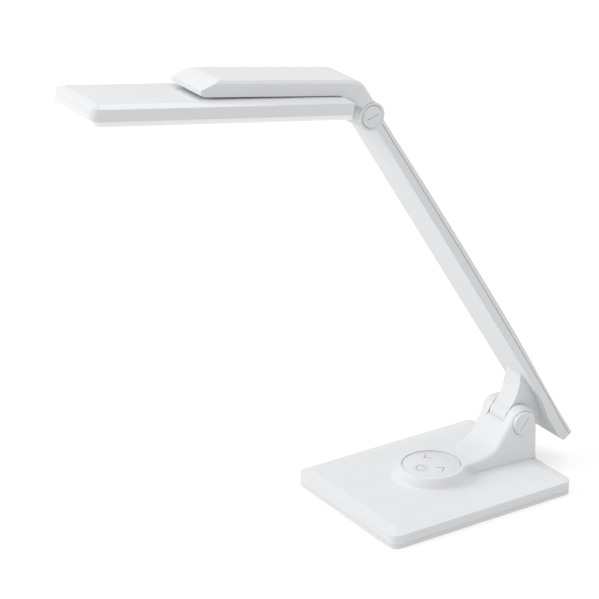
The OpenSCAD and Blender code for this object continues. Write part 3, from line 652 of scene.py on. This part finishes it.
PANEL_HALF = (30.6, 112.65)
PANEL_MID = -25.0 - PANEL_HALF[1]
PANEL_CORNERS = (1.2, 8.0)  # radius at the back, at the front
LEAST_CORNER = 0.6
CORNER_STEPS = 8
PANEL_UNDER = 5.0
PANEL_EDGE = 14.0
PANEL_TOP = 16.6
PANEL_BEVEL_IN = 5.9
PANEL_WALL = 2.0
SWIVEL_AT = -132.5
SPINDLE_ROOM = 5.0
LIP_LOW = 1.2
LIP_TOP_IN = 0.9
LIP_FOOT_IN = 0.3
LIP_WIDE = 4.2
LIP_PLAY = 0.03
LIP_RISE = 0.8


def ring_loop(bm, inset, height):
    """A rounded rectangle of vertices, inset from the panel's side, at one height."""
    half_x = PANEL_HALF[0] - inset
    half_y = PANEL_HALF[1] - inset
    loop = []
    for quarter in range(4):
        radius = max(PANEL_CORNERS[quarter // 2] - inset, LEAST_CORNER)
        centre_x = (half_x - radius) * (1 if quarter in (0, 3) else -1)
        centre_y = (half_y - radius) * (1 if quarter in (0, 1) else -1)
        for k in range(CORNER_STEPS + 1):
            reach = radius * headed(90 * (quarter + k / CORNER_STEPS))
            loop.append(bm.verts.new((centre_x + reach.x, PANEL_MID + centre_y + reach.y, height)))
    return loop


def make_lip():
    """The pale lip that flares out under the panel and holds the diffuser; its finish carries a painted glow."""
    bm = bmesh.new()
    lip_top = PANEL_UNDER - LIP_PLAY
    outer = [(PANEL_WALL + 0.1, PANEL_UNDER + LIP_RISE), (PANEL_WALL + 0.1, lip_top),
             (LIP_TOP_IN, lip_top), (LIP_FOOT_IN + 0.25, LIP_LOW + 0.65),
             (LIP_FOOT_IN, LIP_LOW + 0.3), (LIP_FOOT_IN + 0.1, LIP_LOW + 0.08), (LIP_FOOT_IN + 0.35, LIP_LOW)]
    inner = [(LIP_WIDE - 0.3, LIP_LOW), (LIP_WIDE, LIP_LOW + 0.3), (LIP_WIDE, PANEL_UNDER + LIP_RISE)]
    loops = [ring_loop(bm, inset, height) for inset, height in outer + inner]
    bridge(bm, loops + loops[:1])
    make_piece("diffuser_lip", bm, IN_HEAD, "panel", "white_plastic", ["head_frame"], sharp=40,
               finish=LIP_PAINTED_GLOW)


def make_panel():
    """The panel's housing: a shallow bevelled tray turned over, with a hole for the spindle."""
    under, edge, top, deep = PANEL_UNDER, PANEL_EDGE, PANEL_TOP, PANEL_BEVEL_IN
    wall = PANEL_WALL
    section = [(deep, top - wall), (wall, edge - wall * 0.7), (wall, under), (0.3, under), (0.08, under + 0.1),
               (0.0, under + 0.35), (0.0, edge - 0.3), (0.1, edge - 0.05), (0.4, edge + 0.1),
               (deep - 0.35, top - 0.15), (deep + 0.1, top)]
    bm = bmesh.new()
    loops = [ring_loop(bm, inset, height) for inset, height in section]
    bridge(bm, loops)
    bm.faces.new(reversed(loops[0]))
    bm.faces.new(loops[-1])
    panel = make_piece("panel_moulding", bm, IN_HEAD, "panel", "panel_gloss", ["head_housing"])
    hole = bmesh.new()
    spun(hole, [(SPINDLE_ROOM, under), (SPINDLE_ROOM, top + 2)], Matrix.Translation((0, SWIVEL_AT, 0)))
    cut_away(panel, IN_HEAD, {"spindle_hole": hole}, 26)


# ---- arm's rear cover, its screws and the hinge caps ---------------------------------
# Millimetres in the arm's side view: distance behind the lower hinge, height along the arm

ARM_HALF = 20.8
SEAM = ((29.3, -47.0), (29.4, -30.0), (30.7, -3.0), (31.3, 48.0), (31.7, 110.0), (31.7, 183.0), (31.1, 253.0),
        (30.6, 327.2))
REAR = ((34.1, 327.2), (34.6, 294.0), (35.4, 248.0), (35.9, 178.0), (36.0, 118.0), (35.6, 75.0), (34.7, 44.0),
        (33.8, 20.0), (33.1, -6.0), (32.8, -19.0), (32.8, -47.0))
SEAM_GAP = 0.45
SEAM_RIM = 0.12
REAR_RIM = 1.3
RIM_BORDER = (SEAM[0][0] + REAR[-1][0]) / 2 + 1.4
ARM_WALL = 2
COVER_HOLLOW = ((27.7, -45.0), (31.0, -45.0), (31.0, -6.0), (33.6, 75.0), (33.8, 178.0), (32.2, 294.0),
                (32.2, 314.2), (27.7, 314.2))
FORK_ROOM = 11.45
BOSS_X = 16.3
SCREW_SINK = 1.0
SCREW_TIP = 25.8
SHANK_R = 1.2
HEAD_R = 2.3
HOLE_R = 1.4
SINK_R = 2.5
FAR = 60
COVER_SCREWS = [(side * BOSS_X, z) for z in (-38.0, 60.0, 200.0, 300.0) for side in (-1, 1)]


def densely(points, step=6.0):
    """Points along a line, with more set in so that none is further than step from the next."""
    spots = [Vector(points[0])]
    for point in points[1:]:
        start = spots[-1].copy()
        reach = Vector(point) - start
        count = math.ceil(reach.length / step)
        spots += [start + reach * (i / count) for i in range(1, count + 1)]
    return spots


def rear_at(z):
    """How far back the rear cover's surface lies at a height along the arm."""
    for (y0, z0), (y1, z1) in zip(REAR, REAR[1:]):
        if z1 <= z <= z0:
            return y0 + (y1 - y0) * (z0 - z) / (z0 - z1)
    return REAR[-1][0]


def screw_place(x, z):
    """Stands a spun shape on the arm's hinge plane, its height running to the rear."""
    return Matrix.Translation((x, 0, z)) @ Matrix.Rotation(math.radians(-90), 4, "X")


def make_arm_cover():
    """The arm's rear cover: a channel that leaves a fine dark gap at its seam with the shell."""
    seam = [spot + Vector((SEAM_GAP, 0)) for spot in densely(SEAM)]
    bm = bmesh.new()
    drafted_block(bm, seam + densely(REAR), lambda spot: ARM_HALF,
                  lambda spot: REAR_RIM if spot.x > RIM_BORDER else SEAM_RIM, steps=5)
    cover = make_piece("arm_cover_moulding", bm, IN_ARM, "arm", SLOT_OF["arm_rear_cover"], ["arm_rear_cover"])
    hollow = bmesh.new()
    side_solid(hollow, COVER_HOLLOW, ARM_WALL - ARM_HALF, ARM_HALF - ARM_WALL)
    upper = IN_ARM.inverted() @ Vector(JOINT["head_tilt"]["pos_m"])
    fork = bmesh.new()
    spun(fork, [(FORK_ROOM, -FAR / 2), (FORK_ROOM, FAR / 2)], hinge_place(upper.yz))
    holes = bmesh.new()
    sinks = bmesh.new()
    for x, z in COVER_SCREWS:
        spun(holes, [(HOLE_R, 28), (HOLE_R, FAR)], screw_place(x, z), 24)
        spun(sinks, [(SINK_R, rear_at(z) - SCREW_SINK), (SINK_R, FAR)], screw_place(x, z), 32)
    cut_away(cover, IN_ARM, {"hollow": hollow, "fork_room": fork, "holes": holes, "sinks": sinks}, 32)


def make_arm_screws():
    """The screws that hold the rear cover, each head just below the surface around it."""
    bm = bmesh.new()
    for x, z in COVER_SCREWS:
        seat = rear_at(z) - SCREW_SINK
        spun(bm, [(SHANK_R, SCREW_TIP), (SHANK_R, seat), (HEAD_R, seat), (HEAD_R, seat + 0.7),
                  (HEAD_R - 0.2, seat + 0.85)], screw_place(x, z), 24)
    make_piece("arm_screw_set", bm, IN_ARM, "arm", SLOT_OF["arm_screws"], ["arm_screws"])


# name, CAD node, hinge, radius, distance of the face from the lamp's middle, thickness, slot angle
CAP_PAIRS = (("lower_cap_pair", "lower_caps", HINGE, 10.3, 22.5, 3.05, 48.9),
             ("upper_cap_pair", "upper_caps", UPPER_HINGE, 8.7, 21.6, 2.1, 16.2))
CAP_CROWN = 0.12
COIN_SLOT_DEEP = 0.7
COIN_SLOT_HALF = 0.35
COIN_SLOT_REACH = 0.66


def make_caps(name, node, hinge, radius, face, thick, slot_angle):
    """A pair of slotted caps, one on each side of a hinge, drawn about the hinge in the row frame."""
    profile = [(radius, face - thick), (radius, face - 0.45), (radius - 0.12, face - 0.15),
               (radius - 0.4, face), (radius * 0.5, face + CAP_CROWN)]
    bm = bmesh.new()
    for hand in (-1, 1):
        spun(bm, profile, hinge_place(hinge, hand))
    caps = make_piece(name, bm, IN_BASE, BODY_OF[node], "white_plastic", [node])
    slots = bmesh.new()
    along = headed(slot_angle) * radius * COIN_SLOT_REACH
    side = headed(slot_angle + 90) * COIN_SLOT_HALF
    corners = [hinge + spot for spot in (along + side, side - along, -along - side, along - side)]
    for hand in (-1, 1):
        side_solid(slots, corners, hand * (face - COIN_SLOT_DEEP), hand * (face + 2))
    cut_away(caps, IN_BASE, {"slots": slots}, 32)


# ---- touch marks ---------------------------------------------------------------

POWER_AT = Vector((1.1, -14.4))
POWER_RINGS = (4.3, 6.4)
CHEVRONS = (((-12.8, -1.6), 1), ((11.4, 1.6), -1))
CHEVRON_REACH = (4.1, 5.2)
MARK_THICK = 0.03
MARK_SUNK = 0.1
POWER_WIDE = 0.75
CHEVRON_WIDE = 0.8
HALO_WIDE = 0.45


def stroke(bm, points, wide, closed=False):
    """A raised line of even width along points given in millimetres on the disc."""
    top = POD_TOP - DISC_DROP
    spots = [Vector(point) for point in points]
    count = len(spots)
    rows = []
    for i, spot in enumerate(spots):
        before = spots[i - 1] if i or closed else spot
        after = spots[(i + 1) % count] if i < count - 1 or closed else spot
        along = (after - before).normalized()
        lean = (spot - before).normalized().dot(along) if i and i < count - 1 else 1.0
        across = Vector((-along.y, along.x)) * wide / 2 / max(lean, 0.5)
        corners = (across, across, -across, -across)
        heights = (top - MARK_SUNK, top + MARK_THICK, top + MARK_THICK, top - MARK_SUNK)
        rows.append([bm.verts.new((*(spot + side), height)) for side, height in zip(corners, heights)])
    bridge(bm, rows + rows[:1] if closed else rows)
    if not closed:
        bm.faces.new(rows[0])
        bm.faces.new(reversed(rows[-1]))


def make_marks():
    """A ringed power mark and the two chevrons, printed in grey."""
    bm = bmesh.new()
    inner, outer = POWER_RINGS
    stroke(bm, [POWER_AT + inner * headed(angle) for angle in range(120, 421, 10)], POWER_WIDE)
    stroke(bm, [POWER_AT + Vector((0, 0.6)), POWER_AT + Vector((0, inner + 0.4))], POWER_WIDE)
    for at, hand in CHEVRONS:
        tip = Vector(at)
        wide, tall = CHEVRON_REACH
        stroke(bm, [tip + Vector((-wide, tall * hand)), tip, tip + Vector((wide, tall * hand))], CHEVRON_WIDE)
    make_piece("touch_marks", bm, IN_BASE, "base", "dark_plastic", finish=MARK_INK)
    halo = bmesh.new()
    stroke(halo, [POWER_AT + outer * headed(angle) for angle in range(0, 360, 10)], HALO_WIDE, closed=True)
    make_piece("touch_halo", halo, IN_BASE, "base", "dark_plastic", finish=FAINT_INK)


# ---- carried-over CAD nodes ----------------------------------------------------

EDGE_WIDTH = {"arm_front_shell": 0.0006, "base_cover": 0.0005}
PLAIN_EDGE = 0.0003
NODE_WELD = 2e-6
SOFT_FROM = math.radians(32)


def soften(node, width):
    """Rounds the sharp edges of a carried-over CAD node without touching its mesh."""
    weld = node.modifiers.new("weld", "WELD")
    weld.merge_threshold = NODE_WELD
    bevel = node.modifiers.new("edges", "BEVEL")
    bevel.width = width
    bevel.segments = 2
    bevel.limit_method = "ANGLE"
    bevel.angle_limit = SOFT_FROM
    bevel.use_clamp_overlap = True
    node.modifiers.new("normals", "WEIGHTED_NORMAL").keep_sharp = True


def dress_cad_nodes():
    """Gives each CAD node the finish of its slot, and softer edges."""
    for name, node in frame["nodes"].items():
        node.data.materials.clear()
        node.data.materials.append(FINISH[SLOT_OF[name]])
        soften(node, EDGE_WIDTH.get(name, PLAIN_EDGE))


# ---- room and light --------------------------------------------------------

WORLD_STRENGTH = 0.72
WORLD_TINT = (0.985, 0.985, 1, 1)
FLOOR_SIZE = 14
FLOOR_GREY = 0.8
FLOOR_SEEN = 0.5
FLOOR_LIFT = 0.55
LAMPS_LOOK_AT = Vector((0, -0.05, 0.2))
LAMPS = (("front_softbox", (-1.2, -2.4, 1.6), 1.6, 36),
         ("top_softbox", (0.3, 0.2, 2.6), 1.8, 12),
         ("high_left_softbox", (-0.58, 0.87, 1.83), 0.7, 1.6))


def lit_or_white(nodes, links, plain, white):
    """Shows the plain shader to the object's light and a nearly white one to the camera."""
    rays = nodes.new("ShaderNodeLightPath")
    mix = nodes.new("ShaderNodeMixShader")
    links.new(rays.outputs["Is Camera Ray"], mix.inputs["Fac"])
    links.new(plain, mix.inputs[1])
    links.new(white, mix.inputs[2])
    return mix.outputs[0]


def make_floor():
    """A pale floor that keeps the lamp's shadow and meets the white background."""
    material, nodes, links, bsdf = start_material("pale_floor")
    bsdf.inputs["Base Color"].default_value = (FLOOR_GREY, FLOOR_GREY, FLOOR_GREY, 1)
    bsdf.inputs["Roughness"].default_value = 0.9
    seen = nodes.new("ShaderNodeBsdfDiffuse")
    seen.inputs["Color"].default_value = (FLOOR_SEEN, FLOOR_SEEN, FLOOR_SEEN, 1)
    lift = nodes.new("ShaderNodeEmission")
    lift.inputs["Color"].default_value = (1, 1, 1, 1)
    lift.inputs["Strength"].default_value = FLOOR_LIFT
    bright = nodes.new("ShaderNodeAddShader")
    links.new(seen.outputs[0], bright.inputs[0])
    links.new(lift.outputs[0], bright.inputs[1])
    ground = lit_or_white(nodes, links, bsdf.outputs[0], bright.outputs[0])
    links.new(ground, nodes["Material Output"].inputs["Surface"])
    bpy.ops.mesh.primitive_plane_add(size=FLOOR_SIZE, location=(0, 0, 0))
    floor = bpy.context.object
    floor.name = "floor"
    floor.data.materials.append(material)


def make_world():
    """Even light from all round, white where the camera sees it."""
    world = bpy.data.worlds.new("studio")
    bpy.context.scene.world = world
    world.use_nodes = True
    nodes, links = world.node_tree.nodes, world.node_tree.links
    background = nodes["Background"]
    background.inputs["Color"].default_value = WORLD_TINT
    background.inputs["Strength"].default_value = WORLD_STRENGTH
    seen = nodes.new("ShaderNodeBackground")
    seen.inputs["Color"].default_value = (1, 1, 1, 1)
    links.new(lit_or_white(nodes, links, background.outputs[0], seen.outputs[0]),
              nodes["World Output"].inputs["Surface"])


def area_light(name, at, size, power):
    """A round soft lamp turned to the middle of the part."""
    data = bpy.data.lights.new(name, "AREA")
    data.shape = "DISK"
    data.size = size
    data.energy = power
    lamp = bpy.data.objects.new(name, data)
    bpy.context.scene.collection.objects.link(lamp)
    lamp.location = at
    lamp.rotation_mode = "QUATERNION"
    lamp.rotation_quaternion = (LAMPS_LOOK_AT - Vector(at)).to_track_quat("-Z", "Y")


dress_cad_nodes()
make_tower()
make_disc()
make_knuckle()
make_bracket_cover()
make_lip()
make_panel()
make_arm_cover()
make_arm_screws()
for cap_pair in CAP_PAIRS:
    make_caps(*cap_pair)
make_marks()
make_camera()
make_floor()
make_world()
for softbox in LAMPS:
    area_light(*softbox)

scene = bpy.context.scene
scene.view_settings.view_transform = "Standard"
